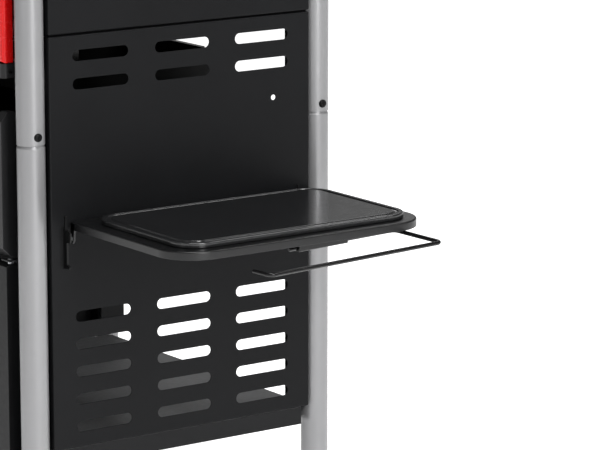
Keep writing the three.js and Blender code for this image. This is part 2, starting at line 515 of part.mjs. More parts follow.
for (const [n, y0, y1, p0, p1] of [['front', -200, -197, -198, -189], ['rear', 199, 202, 191, 200]]) {
  // plate through the slot of the side panel, hooked behind it, with the pivot stub
  let m = prismY([[303.9, 442.5], [318, 442.5], [318, 446], [312.3, 447.5], [312.3, 480], [321, 480], [321, 494], [316.5, 496.9], [308.4, 497.4], [308.4, 517], [306.6, 517], [306.6, 499.5], [303.9, 499.5],
    [303.9, 502.8], [296, 502.8], [296, 450], [299.6, 450], [299.6, 462], [303.9, 462]], y0, y1);
  m = sum(m, box(302.4, 303.9, n === 'front' ? -206.2 : 196.2, n === 'front' ? -196.2 : 206.2, 440.5, 505));
  m = sum(m, cyl('y', 3, p0, p1, PIVOT_X, PIVOT_Z, 10));
  add(`shelf_bracket_${n}`, m, M.dark, shelfG);
}
{
  const b = BOARD;
  const o = (g) => roundRect(b.x0 + g, b.x1 - g, b.y0 + g, b.y1 - g, Math.max(b.r - g, 2), 5);
  let m = prismZ(o(0), b.z0, b.z1);
  m = cut(m, cut(prismZ(o(6), b.z1 - 3, b.z1 + 2), prismZ(o(15), b.z1 - 5, b.z1 + 4)));
  add('cutting_board', m, M.gloss, shelfG);
}
// wire rail: bar under the shelf, arm, outer bar and a short hooked end that keeps a towel on
add('towel_rail', wire([[...BAR_F, BAR_Z], [...BAR_R, BAR_Z], [...RAIL_FR, RAIL_Z], [...RAIL_FL, RAIL_Z], [655.3, -121.4, RAIL_Z]], RAIL_R, 9), M.gloss, shelfG);
{
  // clip under the shelf that the inner bar slides through
  const turn = THREE.MathUtils.radToDeg(Math.atan2(BAR_F[0] - BAR_R[0], BAR_R[1] - BAR_F[1]));
  const m = cut(box(-6, 6, -45, 45, 489.2, 507.7), cyl('y', RAIL_R + 0.6, -50, 50, 0, BAR_Z, 12));
  add('rail_clip', m.rotate([0, 0, turn]).translate([576, 47, 0]), M.dark, shelfG);
}

// -------------------------------------- origin: middle of the footprint, floor
group.updateMatrixWorld(true);
const bounds = new THREE.Box3().setFromObject(group);
group.position.set(-(bounds.min.x + bounds.max.x) / 2, -(bounds.min.y + bounds.max.y) / 2, -bounds.min.z);
group.updateMatrixWorld(true);

export default group;
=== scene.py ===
import bpy, bmesh, json, math
from mathutils import Vector, Matrix
from mathutils.geometry import tessellate_polygon

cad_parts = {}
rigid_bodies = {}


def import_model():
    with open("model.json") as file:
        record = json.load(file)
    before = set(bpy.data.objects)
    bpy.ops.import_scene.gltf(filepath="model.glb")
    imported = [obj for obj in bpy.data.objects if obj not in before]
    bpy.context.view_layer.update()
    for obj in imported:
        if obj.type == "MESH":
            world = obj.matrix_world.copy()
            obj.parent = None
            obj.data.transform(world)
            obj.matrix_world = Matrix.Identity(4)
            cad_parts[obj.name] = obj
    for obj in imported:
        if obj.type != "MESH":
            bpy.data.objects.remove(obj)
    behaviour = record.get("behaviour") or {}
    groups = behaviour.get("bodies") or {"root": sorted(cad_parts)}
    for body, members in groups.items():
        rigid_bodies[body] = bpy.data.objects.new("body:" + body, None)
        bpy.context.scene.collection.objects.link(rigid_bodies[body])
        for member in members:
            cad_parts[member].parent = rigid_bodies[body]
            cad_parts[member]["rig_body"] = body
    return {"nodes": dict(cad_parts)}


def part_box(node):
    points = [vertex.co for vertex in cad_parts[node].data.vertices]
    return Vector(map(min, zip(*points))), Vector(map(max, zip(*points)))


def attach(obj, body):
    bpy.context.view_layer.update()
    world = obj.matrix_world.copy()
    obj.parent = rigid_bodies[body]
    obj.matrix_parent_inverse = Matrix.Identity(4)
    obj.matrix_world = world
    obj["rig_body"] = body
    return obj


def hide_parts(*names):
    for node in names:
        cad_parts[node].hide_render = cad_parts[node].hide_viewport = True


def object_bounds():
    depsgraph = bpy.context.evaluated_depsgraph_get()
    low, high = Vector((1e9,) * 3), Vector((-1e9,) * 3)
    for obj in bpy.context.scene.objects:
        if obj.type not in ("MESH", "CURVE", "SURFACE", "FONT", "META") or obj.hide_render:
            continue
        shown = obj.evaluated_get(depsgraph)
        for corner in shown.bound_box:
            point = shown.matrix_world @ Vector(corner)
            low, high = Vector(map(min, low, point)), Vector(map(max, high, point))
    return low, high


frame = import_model()
CAD_LO, CAD_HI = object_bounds()
# All lengths below are millimetres measured from the middle of the cart; OX turns them into the row frame.
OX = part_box("side_panel_right")[1].x * 1000 - 306.0
PI = math.pi


def mm(p):
    return ((p[0] + OX) / 1000.0, p[1] / 1000.0, p[2] / 1000.0)


# ------------------------------------------------------------------ materials
def material(name, base, rough, metallic=0.0, spec=0.5, coat=0.0, coat_rough=0.1,
             grain=900.0, bump=0.15, dist=0.0002, var=0.12, var_scale=9.0,
             rvar=0.06, rscale=140.0, stretch=None, dust=0.0, dust_col=(0.5, 0.48, 0.45), top=None):
    m = bpy.data.materials.new(name)
    m.use_nodes = True
    nt = m.node_tree
    N, L = nt.nodes, nt.links
    b = N["Principled BSDF"]
    b.inputs["Metallic"].default_value = metallic
    b.inputs["Specular IOR Level"].default_value = spec
    b.inputs["Coat Weight"].default_value = coat
    b.inputs["Coat Roughness"].default_value = coat_rough
    tc = N.new("ShaderNodeTexCoord")
    src = tc.outputs["Object"]
    if stretch:
        mp = N.new("ShaderNodeMapping")
        mp.inputs["Scale"].default_value = stretch
        L.new(src, mp.inputs["Vector"])
        fine = mp.outputs["Vector"]
    else:
        fine = src
    # colour variation: broad, soft clouds between two close shades
    n1 = N.new("ShaderNodeTexNoise")
    n1.inputs["Scale"].default_value = var_scale
    n1.inputs["Detail"].default_value = 4.0
    n1.inputs["Roughness"].default_value = 0.6
    L.new(src, n1.inputs["Vector"])
    cr = N.new("ShaderNodeValToRGB")
    cr.color_ramp.elements[0].position = 0.3
    cr.color_ramp.elements[1].position = 0.7
    lo = [c * (1 - var) for c in base] + [1]
    hi = [min(1, c * (1 + var)) for c in base] + [1]
    cr.color_ramp.elements[0].color = lo
    cr.color_ramp.elements[1].color = hi
    L.new(n1.outputs["Fac"], cr.inputs["Fac"])
    colour = cr.outputs["Color"]
    if dust > 0:
        n4 = N.new("ShaderNodeTexNoise")
        n4.inputs["Scale"].default_value = 420.0
        n4.inputs["Detail"].default_value = 8.0
        L.new(fine, n4.inputs["Vector"])
        dr = N.new("ShaderNodeValToRGB")
        dr.color_ramp.elements[0].position = 0.55
        dr.color_ramp.elements[0].color = (0, 0, 0, 1)
        dr.color_ramp.elements[1].position = 0.78
        dr.color_ramp.elements[1].color = (dust, dust, dust, 1)
        L.new(n4.outputs["Fac"], dr.inputs["Fac"])
        mx = N.new("ShaderNodeMix")
        mx.data_type = "RGBA"
        L.new(dr.outputs["Color"], mx.inputs["Factor"])
        L.new(colour, mx.inputs["A"])
        mx.inputs["B"].default_value = (*dust_col, 1)
        colour = mx.outputs["Result"]
    if top:
        # faces that look up are painted lighter in the top colour: painted light from above
        sx = N.new("ShaderNodeSeparateXYZ")
        L.new(tc.outputs["Normal"], sx.inputs["Vector"])
        up = N.new("ShaderNodeMapRange")
        up.inputs["From Min"].default_value = 0.6
        up.inputs["From Max"].default_value = 0.8
        L.new(sx.outputs["Z"], up.inputs["Value"])
        painted_top_light_mix = N.new("ShaderNodeMix")
        painted_top_light_mix.data_type = "RGBA"
        painted_top_light_mix.blend_type = "MIX"
        L.new(up.outputs["Result"], painted_top_light_mix.inputs["Factor"])
        L.new(colour, painted_top_light_mix.inputs["A"])
        painted_top_light_tone = N.new("ShaderNodeMix")
        painted_top_light_tone.data_type = "RGBA"
        L.new(n1.outputs["Fac"], painted_top_light_tone.inputs["Factor"])
        painted_top_light_tone.inputs["A"].default_value = (*[c * 0.9 for c in top], 1)
        painted_top_light_tone.inputs["B"].default_value = (*[c * 1.1 for c in top], 1)
        L.new(painted_top_light_tone.outputs["Result"], painted_top_light_mix.inputs["B"])
        colour = painted_top_light_mix.outputs["Result"]
    L.new(colour, b.inputs["Base Color"])
    # roughness variation
    n2 = N.new("ShaderNodeTexNoise")
    n2.inputs["Scale"].default_value = rscale
    n2.inputs["Detail"].default_value = 5.0
    L.new(fine, n2.inputs["Vector"])
    mr = N.new("ShaderNodeMapRange")
    mr.inputs["From Min"].default_value = 0.3
    mr.inputs["From Max"].default_value = 0.7
    mr.inputs["To Min"].default_value = max(0.02, rough - rvar)
    mr.inputs["To Max"].default_value = min(1.0, rough + rvar)
    L.new(n2.outputs["Fac"], mr.inputs["Value"])
    L.new(mr.outputs["Result"], b.inputs["Roughness"])
    # fine surface relief
    n3 = N.new("ShaderNodeTexNoise")
    n3.inputs["Scale"].default_value = grain
    n3.inputs["Detail"].default_value = 3.0
    n3.inputs["Roughness"].default_value = 0.55
    L.new(fine, n3.inputs["Vector"])
    bp = N.new("ShaderNodeBump")
    bp.inputs["Strength"].default_value = bump
    bp.inputs["Distance"].default_value = dist
    L.new(n3.outputs["Fac"], bp.inputs["Height"])
    L.new(bp.outputs["Normal"], b.inputs["Normal"])
    return m


M = {
    "silver": material("silver_powder_coat", (0.252, 0.252, 0.257), 0.36, metallic=0.45, spec=0.4, grain=2600, bump=0.10, dist=0.00008, var=0.03, rvar=0.05),
    "panel": material("black_satin_powder_coat", (0.0052, 0.0054, 0.0060), 0.46, spec=0.115, grain=1700, bump=0.18, dist=0.00008, var=0.10, rvar=0.05),
    "front": material("black_front_powder_coat", (0.0085, 0.0086, 0.0092), 0.40, spec=0.30, grain=1700, bump=0.18, dist=0.00008, var=0.10, rvar=0.05),
    # door coat: the black front paint made darker still, painted shade for the door sides in the gap beside the legs
    "door": material("black_door_coat_painted_shade", (0.0045, 0.0046, 0.0051), 0.42, spec=0.15, grain=1700, bump=0.18, dist=0.00008, var=0.10, rvar=0.05),
    # floor plate: charcoal coat whose upward faces are painted lighter, painted light from above
    "floor": material("charcoal_floor_coat_painted_top_light", (0.0070, 0.0072, 0.0078), 0.50, spec=0.16, grain=1500, bump=0.2, dist=0.0001, var=0.10, rvar=0.06, top=(0.17, 0.172, 0.176)),
    "frame": material("dark_frame_powder_coat", (0.022, 0.0225, 0.024), 0.5, spec=0.3, grain=1500, bump=0.2, dist=0.0001, var=0.12, rvar=0.06),
    "enamel": material("black_porcelain_enamel", (0.010, 0.010, 0.011), 0.16, spec=0.5, grain=240, bump=0.05, dist=0.0003, var=0.15, rvar=0.03, rscale=60),
    "steel": material("brushed_steel", (0.58, 0.58, 0.585), 0.33, metallic=1.0, grain=240, bump=0.12, dist=0.00005, var=0.05, rvar=0.09, rscale=200, stretch=(0.06, 1.0, 1.0)),
    "burner": material("drawn_stainless", (0.50, 0.49, 0.47), 0.36, metallic=1.0, grain=240, bump=0.12, dist=0.00005, var=0.08, rvar=0.09, rscale=200, stretch=(1.0, 0.05, 1.0)),
    "cast": material("cast_iron", (0.020, 0.019, 0.0185), 0.62, spec=0.35, grain=900, bump=0.55, dist=0.0004, var=0.25, rvar=0.10),
    "zinc": material("zinc_plated_steel", (0.50, 0.51, 0.53), 0.38, metallic=0.95, grain=1200, bump=0.1, dist=0.00006, var=0.10, var_scale=45, rvar=0.10),
    "red": material("red_enamel", (0.56, 0.003, 0.0026), 0.26, spec=0.3, coat=0.1, coat_rough=0.08, grain=400, bump=0.04, dist=0.0002, var=0.04, rvar=0.03),
    "knob": material("black_moulded_plastic", (0.014, 0.014, 0.015), 0.40, spec=0.4, grain=2200, bump=0.25, dist=0.0001, var=0.10, rvar=0.06),
    "rubber": material("black_rubber", (0.018, 0.018, 0.018), 0.72, spec=0.3, grain=1500, bump=0.35, dist=0.0002, var=0.15, rvar=0.08),
    "hub": material("grey_moulded_plastic", (0.16, 0.162, 0.167), 0.5, spec=0.4, grain=1800, bump=0.25, dist=0.0001, var=0.06, rvar=0.06),
    "shelf": material("charcoal_shelf_powder_coat", (0.0030, 0.0031, 0.0035), 0.34, spec=0.44, grain=1500, bump=0.22, dist=0.0001, var=0.08, rvar=0.05),
    "board": material("black_board_plastic", (0.0115, 0.0117, 0.0124), 0.20, coat=0.35, coat_rough=0.07, spec=0.5, grain=1300, bump=0.28, dist=0.00012, var=0.12, rvar=0.05),
    "wire": material("black_gloss_wire", (0.003, 0.003, 0.0032), 0.22, spec=0.3, grain=700, bump=0.08, dist=0.0001, var=0.1, rvar=0.04),
    "bracket": material("black_bracket_coat", (0.0035, 0.0036, 0.0038), 0.45, spec=0.22, grain=1500, bump=0.2, dist=0.0001, var=0.12, rvar=0.06),
    # near-black sheet colour for the seam gap: painted shade
    "seam_shade": material("seam_gap_painted_shade", (0.0015, 0.0015, 0.0016), 0.9, spec=0.03, grain=1500, bump=0.2, dist=0.0001, var=0.12, rvar=0.06),
    "clip": material("black_clip_plastic", (0.005, 0.005, 0.0053), 0.35, spec=0.35, grain=2000, bump=0.2, dist=0.0001, var=0.1, rvar=0.05),
    "screw": material("black_oxide_screw", (0.002, 0.002, 0.0022), 0.42, spec=0.14, grain=1800, bump=0.15, dist=0.0001, var=0.1, rvar=0.06),
    "white": material("white_print", (0.75, 0.75, 0.74), 0.5, grain=1500, bump=0.05, dist=0.00005, var=0.02, rvar=0.03),
    "dial": material("dial_enamel", (0.78, 0.78, 0.76), 0.35, grain=900, bump=0.05, dist=0.0001, var=0.02, rvar=0.03),
    "redmark": material("dial_red", (0.5, 0.02, 0.015), 0.4, grain=900, bump=0.05, dist=0.0001, var=0.03, rvar=0.03),
}


# ---------------------------------------------------------------- mesh helpers
class Shape:
    def __init__(self):
        self.v, self.f = [], []

    def ring(self, pts):
        i = len(self.v)
        self.v += [tuple(p) for p in pts]
        return list(range(i, i + len(pts)))

    def bridge(self, a, b, closed=True):
        n = len(a)
        for i in range(n if closed else n - 1):
            j = (i + 1) % n
            self.f.append((a[i], a[j], b[j], b[i]))

    def cap(self, *loops):
        polys = [[Vector(self.v[i]) for i in l] for l in loops]
        flat = [i for l in loops for i in l]
        for t in tessellate_polygon(polys):
            self.f.append(tuple(flat[k] for k in t))

    def face(self, loop):
        self.f.append(tuple(loop))


def basis(axis):
    a = Vector(axis).normalized()
    e1 = a.orthogonal().normalized() if abs(a.z) < 0.9 and abs(a.x) < 0.9 and abs(a.y) < 0.9 else Vector((a.y, a.z, a.x))
    e2 = a.cross(e1)
    return e1, e2, a


def revolve(S, prof, origin, axis, seg=64, closed=True):
    """prof: (radius, height along axis); points with no radius become poles."""
    e1, e2, a = basis(axis)
    o = Vector(origin)
    rings = []
    for r, h in prof:
        if r < 1e-6:
            rings.append(S.ring([o + a * h]))
        else:
            rings.append(S.ring([o + a * h + (e1 * math.cos(2 * PI * i / seg) + e2 * math.sin(2 * PI * i / seg)) * r for i in range(seg)]))
    n = len(rings)
    for k in range(n if closed else n - 1):
        A, B = rings[k], rings[(k + 1) % n]
        if len(A) == 1 and len(B) == 1:
            continue
        if len(A) == 1:
            for i in range(seg):
                S.f.append((A[0], B[i], B[(i + 1) % seg]))
        elif len(B) == 1:
            for i in range(seg):
                S.f.append((B[0], A[i], A[(i + 1) % seg]))
        else:
            S.bridge(A, B)
    return S


def fillet(pts, r, n=4, closed=True):
    """Rounds the corners of a 2-D outline. r is one radius or one per corner."""
    N = len(pts)
    rs = list(r) if hasattr(r, "__len__") else [r] * N
    out = []
    for i in range(N):
        p = Vector(pts[i])
        if (not closed and i in (0, N - 1)) or rs[i] <= 0:
            out.append(tuple(p))
            continue
        a, b = Vector(pts[i - 1]), Vector(pts[(i + 1) % N])
        da, db = a - p, b - p
        la, lb = da.length, db.length
        if la < 1e-9 or lb < 1e-9:
            out.append(tuple(p))
            continue
        da, db = da / la, db / lb
        cosang = max(-1, min(1, da.dot(db)))
        half = math.acos(cosang) / 2
        if half > PI / 2 - 0.02:
            out.append(tuple(p))
            continue
        t = min(rs[i] / math.tan(half), la * 0.49, lb * 0.49)
        rr_ = t * math.tan(half)
        c = p + (da + db).normalized() * (rr_ / math.sin(half))
        s, e = p + da * t, p + db * t
        a0 = math.atan2(s.y - c.y, s.x - c.x)
        a1 = math.atan2(e.y - c.y, e.x - c.x)
        d = (a1 - a0 + PI) % (2 * PI) - PI
        for k in range(n + 1):
            q = a0 + d * k / n
            out.append((c.x + rr_ * math.cos(q), c.y + rr_ * math.sin(q)))
    return out


def rrect(u0, u1, v0, v1, r, g=0.0, n=6):
    r = list(r) if hasattr(r, "__len__") else [r] * 4
    u0, u1, v0, v1 = u0 + g, u1 - g, v0 + g, v1 - g
    out = []
    for cu, cv, su, sv, a0, rad in ((u0, v0, 1, 1, PI, r[0]), (u1, v0, -1, 1, 1.5 * PI, r[1]), (u1, v1, -1, -1, 0, r[2]), (u0, v1, 1, -1, 0.5 * PI, r[3])):
        rad = max(rad - g, 0.2)
        for i in range(n + 1):
            a = a0 + PI / 2 * i / n
            out.append((cu + su * rad + rad * math.cos(a), cv + sv * rad + rad * math.sin(a)))
    return out


def stadium(cu, cv, length, height, g=0.0, n=10):
    r = height / 2
    out = []
    for i in range(n + 1):
        a = -PI / 2 + PI * i / n
        out.append((cu + length / 2 - r + (r + g) * math.cos(a), cv + (r + g) * math.sin(a)))
    for i in range(n + 1):
        a = PI / 2 + PI * i / n
        out.append((cu - length / 2 + r + (r + g) * math.cos(a), cv + (r + g) * math.sin(a)))
    return out


def circle(cu, cv, r, g=0.0, n=28):
    return [(cu + (r + g) * math.cos(2 * PI * i / n), cv + (r + g) * math.sin(2 * PI * i / n)) for i in range(n)]


def pan(S, outline, to3, depth, t, R, holes=(), hr=0.35, nr=5):
    """Folded sheet: outer face at w 0 with an edge of radius R, flange down to depth, sheet t thick, punched with holes.
    outline(g) is the outline pulled in by g; each hole(g) is the hole's loop grown by g."""
    seq = []
    for k in range(nr + 1):
        a = PI / 2 * k / nr
        seq.append((R * (1 - math.sin(a)), R * (1 - math.cos(a))))
    e = min(0.35, t * 0.3)
    seq += [(0, depth - e), (e * 0.3, depth - e * 0.3), (e, depth), (t - e, depth), (t - e * 0.3, depth - e * 0.3), (t, depth - e)]
    Ri = max(R - t, 0.3)
    for k in range(nr, -1, -1):
        a = PI / 2 * k / nr
        seq.append((t + Ri * (1 - math.sin(a)), t + Ri * (1 - math.cos(a))))
    rings = [S.ring([to3(u, v, w) for u, v in outline(g)]) for g, w in seq]
    for a, b in zip(rings, rings[1:]):
        S.bridge(a, b)
    first, last = [rings[0]], [rings[-1]]
    hr = min(hr, t * 0.4)
    for h in holes:
        hs = [(hr, 0), (hr * 0.3, hr * 0.3), (0, hr), (0, t - hr), (hr * 0.3, t - hr * 0.3), (hr, t)]
        hrings = [S.ring([to3(u, v, w) for u, v in h(g)]) for g, w in hs]
        for a, b in zip(hrings, hrings[1:]):
            S.bridge(a, b)
        first.append(hrings[0])
        last.append(hrings[-1])
    S.cap(*first)
    S.cap(*last)
    return S


def slab(S, outline, to3, w0, w1, r0=0.6, r1=0.6, holes=(), hr=0.6, nr=4):
    """Solid plate from w0 to w1 with rounded edges of radius r0 and r1 and holes through it."""
    seq = []
    for k in range(nr + 1):
        a = PI / 2 * k / nr
        seq.append((r0 * (1 - math.sin(a)), w0 + r0 * (1 - math.cos(a))))
    for k in range(nr, -1, -1):
        a = PI / 2 * k / nr
        seq.append((r1 * (1 - math.sin(a)), w1 - r1 * (1 - math.cos(a))))
    rings = [S.ring([to3(u, v, w) for u, v in outline(g)]) for g, w in seq]
    for a, b in zip(rings, rings[1:]):
        S.bridge(a, b)
    first, last = [rings[0]], [rings[-1]]
    for h in holes:
        hs = [(hr, w0), (hr * 0.3, w0 + hr * 0.3), (0, w0 + hr), (0, w1 - hr), (hr * 0.3, w1 - hr * 0.3), (hr, w1)]
        hrings = [S.ring([to3(u, v, w) for u, v in h(g)]) for g, w in hs]
        for a, b in zip(hrings, hrings[1:]):
            S.bridge(a, b)
        first.append(hrings[0])
        last.append(hrings[-1])
    S.cap(*first)
    S.cap(*last)
    return S


def prism(S, poly, to3, w0, w1):
    a = S.ring([to3(u, v, w0) for u, v in poly])
    b = S.ring([to3(u, v, w1) for u, v in poly])
    S.bridge(a, b)
    S.cap(a)
    S.cap(b)
    return S


def sweep(S, path, r, seg=20, round_end=True):
    """Round bar along a 3-D path."""
    P = [Vector(p) for p in path]
    T = []
    for i in range(len(P)):
        a = P[max(i - 1, 0)]
        b = P[min(i + 1, len(P) - 1)]
        T.append((b - a).normalized())
    up = T[0].orthogonal().normalized()
    rings = []

    def at(p, t, u, rad):
        v = t.cross(u).normalized()
        return S.ring([p + (u * math.cos(2 * PI * k / seg) + v * math.sin(2 * PI * k / seg)) * rad for k in range(seg)])
    ups = []
    for i in range(len(P)):
        if i:
            ax = T[i - 1].cross(T[i])
            if ax.length > 1e-8:
                up = Matrix.Rotation(T[i - 1].angle(T[i]), 3, ax.normalized()) @ up
            up = (up - T[i] * up.dot(T[i])).normalized()
        ups.append(up.copy())
    e = r * 0.35 if round_end else r * 0.12
    for k in range(4):
        a = PI / 2 * k / 4
        rings.append(at(P[0] + T[0] * (e * (1 - math.sin(a)) if k else e * 0) + T[0] * 0, T[0], ups[0], 0.001 + (r - e) + e * math.sin(a)) if False else at(P[0] + T[0] * e * (1 - math.cos(a)), T[0], ups[0], r - e + e * math.sin(a)))
    for i in range(len(P)):
        if i == 0:
            rings.append(at(P[0] + T[0] * e, T[0], ups[0], r))
        elif i == len(P) - 1:
            rings.append(at(P[i] - T[i] * e, T[i], ups[i], r))
        else:
            rings.append(at(P[i], T[i], ups[i], r))
    for k in range(3, -1, -1):
        a = PI / 2 * k / 4
        rings.append(at(P[-1] - T[-1] * e * (1 - math.cos(a)), T[-1], ups[-1], r - e + e * math.sin(a)))
    for a, b in zip(rings, rings[1:]):
        S.bridge(a, b)
    S.face(rings[0])
    S.face(list(reversed(rings[-1])))
    return S


def bent(points, r, n=8):
    """Path through 3-D points with round bends of radius r."""
    P = [Vector(p) for p in points]
    out = [P[0]]
    for i in range(1, len(P) - 1):
        a, p, b = P[i - 1], P[i], P[i + 1]
        da, db = (a - p).normalized(), (b - p).normalized()
        half = da.angle(db) / 2
        t = min(r / math.tan(half), (a - p).length * 0.49, (b - p).length * 0.49)
        R = t * math.tan(half)
        c = p + (da + db).normalized() * (R / math.sin(half))
        s, e = p + da * t - c, p + db * t - c
        ang = s.angle(e)
        ax = s.cross(e).normalized()
        for k in range(n + 1):
            out.append(c + Matrix.Rotation(ang * k / n, 3, ax) @ s)
    out.append(P[-1])
    return out


def finish_mesh(name, me, mat, body, slot=None, replaces=(), bevel=0.0, bseg=2, angle=30, solid=0.0, sharp=None):
    me.materials.clear()
    me.materials.append(mat)
    if sharp:
        me.set_sharp_from_angle(angle=math.radians(sharp))
    o = bpy.data.objects.new(name, me)
    bpy.context.scene.collection.objects.link(o)
    if solid:
        s = o.modifiers.new("solid", "SOLIDIFY")
        s.thickness = solid / 1000
        s.offset = -1
        s.use_even_offset = True
    if bevel:
        b = o.modifiers.new("bevel", "BEVEL")
        b.width = bevel / 1000
        b.segments = bseg
        b.limit_method = "ANGLE"
        b.angle_limit = math.radians(angle)
        b.use_clamp_overlap = True
        b.miter_outer = "MITER_ARC" if bseg > 2 else "MITER_SHARP"
    w = o.modifiers.new("normals", "WEIGHTED_NORMAL")
    w.mode = "FACE_AREA"
    w.weight = 50
    w.keep_sharp = True
    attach(o, body)
    if replaces:
        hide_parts(*replaces)
    return o


def make(name, S, mat, body, **kw):
    me = bpy.data.meshes.new(name)
    me.from_pydata([mm(v) for v in S.v], [], S.f)
    bm = bmesh.new()
    bm.from_mesh(me)
    bmesh.ops.remove_doubles(bm, verts=bm.verts, dist=2e-7)
    bmesh.ops.dissolve_degenerate(bm, dist=1e-7, edges=bm.edges)
    bmesh.ops.recalc_face_normals(bm, faces=bm.faces)
    if kw.pop("merge_flat", False):
        bmesh.ops.dissolve_limit(bm, angle_limit=math.radians(0.5), verts=bm.verts, edges=bm.edges)
    for f in bm.faces:
        f.smooth = True
    bm.to_mesh(me)
    bm.free()
    return finish_mesh(name, me, mat, body, **kw)


def refine(node, mat, slot, bevel=0.5, bseg=2, angle=35, sharp=None, piece=None):
    """The CAD solid itself, welded, with its edges rounded and its normals evened out."""
    body = frame["nodes"][node]["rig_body"]
    bm = bmesh.new()
    bm.from_mesh(frame["nodes"][node].data)
    bmesh.ops.remove_doubles(bm, verts=bm.verts, dist=2e-6)
    bmesh.ops.dissolve_degenerate(bm, dist=1e-6, edges=bm.edges)
    bmesh.ops.dissolve_limit(bm, angle_limit=math.radians(0.8), verts=bm.verts, edges=bm.edges)
    bmesh.ops.recalc_face_normals(bm, faces=bm.faces)
    for f in bm.faces:
        f.smooth = True
    me = bpy.data.meshes.new(piece or node + "_finished")
    bm.to_mesh(me)
    bm.free()
    return finish_mesh(piece or node + "_finished", me, mat, body, slot=slot, replaces=(node,), bevel=bevel, bseg=bseg, angle=angle, sharp=sharp)


XY = lambda z0=0, s=1: (lambda u, v, w: (u, v, z0 + s * w))
XU = lambda x0, s: (lambda u, v, w: (x0 + s * w, u, v))       # u = Y, v = Z, w along X
YU = lambda y0, s: (lambda u, v, w: (u, y0 + s * w, v))       # u = X, v = Z, w along Y

# ------------------------------------------------------------------- legs
for side, sx in (("right", 1), ("left", -1)):
    for end, sy in (("front", -1), ("rear", 1)):
        c = (sx * 290, sy * 242.5, 0)
        z0 = 12.3 if sx > 0 else 46.0
        n = f"{end}_{side}"
        # lower tube with its swaged spigot
        S = Shape()
        prof = fillet([(18.6, z0), (20.0, z0), (20.0, 616.8), (18.5, 619.9), (18.3, 621.2), (18.3, 668.5), (17.1, 670), (17.0, 640), (18.6, 613)],
                      [0.5, 0.5, 0.7, 0.5, 0.4, 0.8, 0.3, 1, 1], 3)
        revolve(S, prof, c, (0, 0, 1), 96)
        make("leg_lower_tube_" + n, S, M["silver"], "cart", slot="silver_tube", replaces=("leg_lower_" + n,))
        S = Shape()
        prof = fillet([(18.6, 620.9), (20.0, 620.9), (20.0, 857.5), (18.6, 857.5)], 0.55, 3)
        revolve(S, prof, c, (0, 0, 1), 96)
        make("leg_upper_tube_" + n, S, M["silver"], "cart", slot="silver_tube", replaces=("leg_upper_" + n,))
        # pan-head screw with a cross recess
        S = Shape()
        ax = (sx, 0, 0)
        o = (sx * 308.7, sy * 242.5, 633)
        dome = [(3.9, 0), (5.9, 0.2), (5.95, 1.6), (5.7, 2.9), (4.9, 3.7), (3.6, 4.15), (2.0, 4.35), (0, 4.4)]
        revolve(S, [(0, 0)] + dome, o, ax, 48, closed=False)
        scr = make("leg_screw_head_" + n, S, M["screw"], "cart", slot="black_screw", replaces=("leg_screw_" + n,), sharp=50)
        S = Shape()
        for a0 in (0, PI / 2):
            ca, sa = math.cos(a0), math.sin(a0)
            lo = [(-0.9, -0.35), (0.9, -0.35), (0.9, 0.35), (-0.9, 0.35)]
            hi = [(-3.3, -0.75), (3.3, -0.75), (3.3, 0.75), (-3.3, 0.75)]
            A = S.ring([(o[0] + sx * 1.9, o[1] + u * ca - v * sa, o[2] + u * sa + v * ca) for u, v in lo])
            B = S.ring([(o[0] + sx * 5.2, o[1] + u * ca - v * sa, o[2] + u * sa + v * ca) for u, v in hi])
            S.bridge(A, B)
            S.face(A)
            S.face(B)
        me = bpy.data.meshes.new("cut")
        me.from_pydata([mm(v) for v in S.v], [], S.f)
        bm = bmesh.new()
        bm.from_mesh(me)
        bmesh.ops.recalc_face_normals(bm, faces=bm.faces)
        bm.to_mesh(me)
        bm.free()
        cutter = bpy.data.objects.new("cut", me)
        bpy.context.scene.collection.objects.link(cutter)
        bo = scr.modifiers.new("recess", "BOOLEAN")
        bo.operation = "DIFFERENCE"
        bo.solver = "EXACT"
        bo.use_self = True
        bo.object = cutter
        scr.modifiers.move(len(scr.modifiers) - 1, 0)
        bpy.context.view_layer.update()
        dg = bpy.context.evaluated_depsgraph_get()
        new = bpy.data.meshes.new_from_object(scr.evaluated_get(dg), depsgraph=dg)
        scr.modifiers.clear()
        scr.data = new
        new.set_sharp_from_angle(angle=math.radians(35))
        bpy.data.objects.remove(cutter)

for end, sy in (("front", -1), ("rear", 1)):
    S = Shape()
    prof = fillet([(0, 0), (20.4, 0), (22, 2.2), (21.8, 9.5), (20.5, 12), (17.5, 12), (17.5, 36.5), (16.2, 38), (0, 38)],
                  [0, 1.2, 1.5, 1.5, 1, 0.4, 1, 1, 0], 3)
    revolve(S, prof, (290, sy * 242.5, 0), (0, 0, 1), 72, closed=False)
    for k in range(3):
        pass
    make("foot_cap_" + end, S, M["rubber"], "cart", slot="rubber", replaces=(f"foot_{end}_right",))

# ------------------------------------------------------------- side panels
ROWS = [741, 701, 370, 330, 290, 250, 210]
COLS = [-136.7, 0, 136.7]


def slots():
    return [(lambda g, y=y, z=z: stadium(y, z, 92, 15.5, g, 12)) for z in ROWS for y in COLS]


